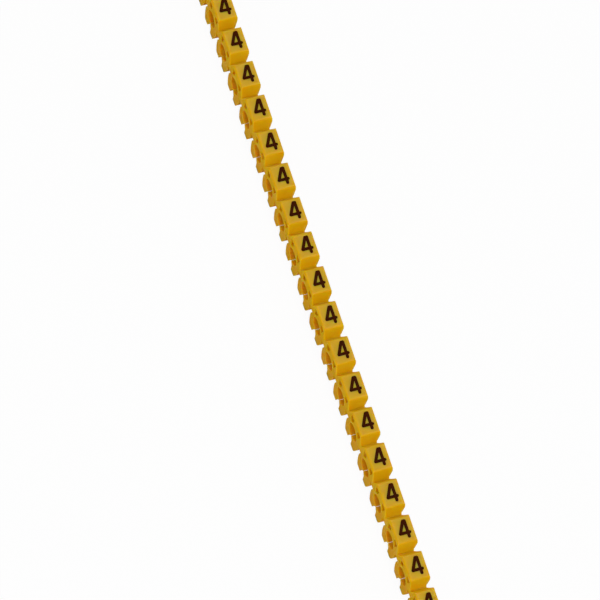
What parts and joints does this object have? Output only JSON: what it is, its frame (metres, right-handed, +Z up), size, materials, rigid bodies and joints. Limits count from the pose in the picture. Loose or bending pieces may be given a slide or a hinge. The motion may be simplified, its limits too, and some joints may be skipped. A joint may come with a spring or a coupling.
{
  "type": "cable marker strip",
  "caption": "Strip of snap-off clip-on cable markers: yellow heads printed with a digit, each over a split round wire clip with two claws, joined by webs under V-shaped break-off grooves.",
  "frame": {"origin": "middle of the strip, on the ground between the feet", "axes": "+X along the marked wires, +Y along the strip towards the top of the digits, +Z up out of the printed faces"},
  "size_m": [0.0024, 0.0856, 0.0052],
  "materials": {
    "yellow_plastic": "satin moulded"
  },
  "bodies": {
    "root": {"marker_strip": "yellow_plastic"}
  },
  "joints": []
}
